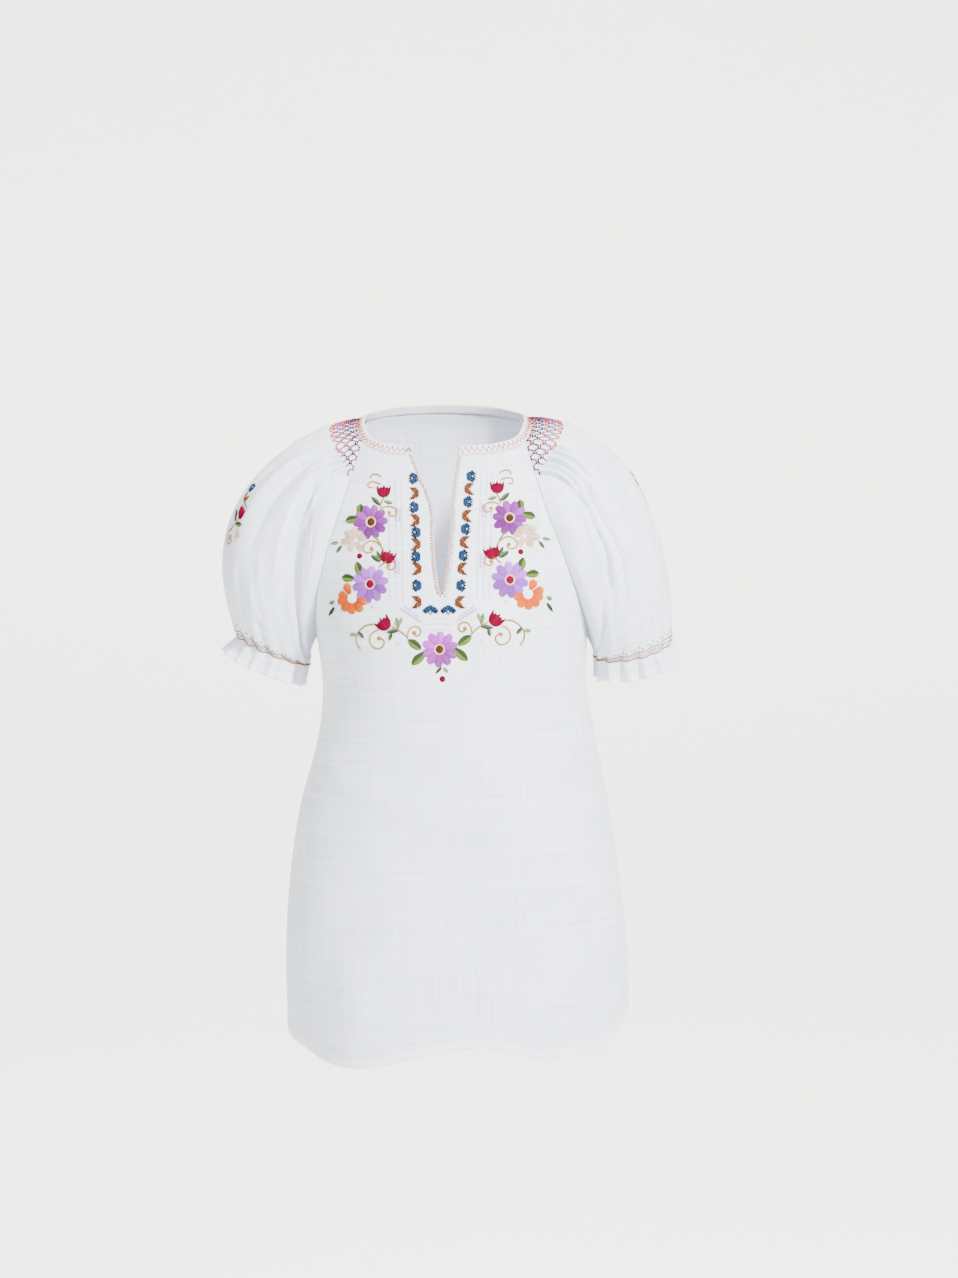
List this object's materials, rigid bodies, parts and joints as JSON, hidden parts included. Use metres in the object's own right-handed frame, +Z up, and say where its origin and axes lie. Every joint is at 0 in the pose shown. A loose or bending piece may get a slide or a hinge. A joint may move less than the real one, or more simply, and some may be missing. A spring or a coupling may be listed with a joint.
{
  "type": "embroidered blouse",
  "caption": "Short-sleeved peasant blouse in white cotton with puffed raglan sleeves, smocked shoulders, a slit round neck and frilled cuffs.",
  "frame": {"origin": "middle of the neck opening at shoulder height, where a wearer's shoulders hold the blouse", "axes": "+Z up along the body, -Y out of the front, +X towards the wearer's left"},
  "size_m": [0.44, 0.2513, 0.6156],
  "materials": {
    "white_cotton": "fine plain-woven cotton, matt and a little see-through",
    "binding_cotton": "folded cotton band with peach stitching",
    "peach_thread": "dense stranded cotton stitching, a low sheen"
  },
  "bodies": {
    "root": {"front": "white_cotton", "back": "white_cotton", "sleeve_right": "white_cotton", "sleeve_left": "white_cotton", "neck_binding": "binding_cotton", "slit_edging": "peach_thread"}
  },
  "joints": []
}
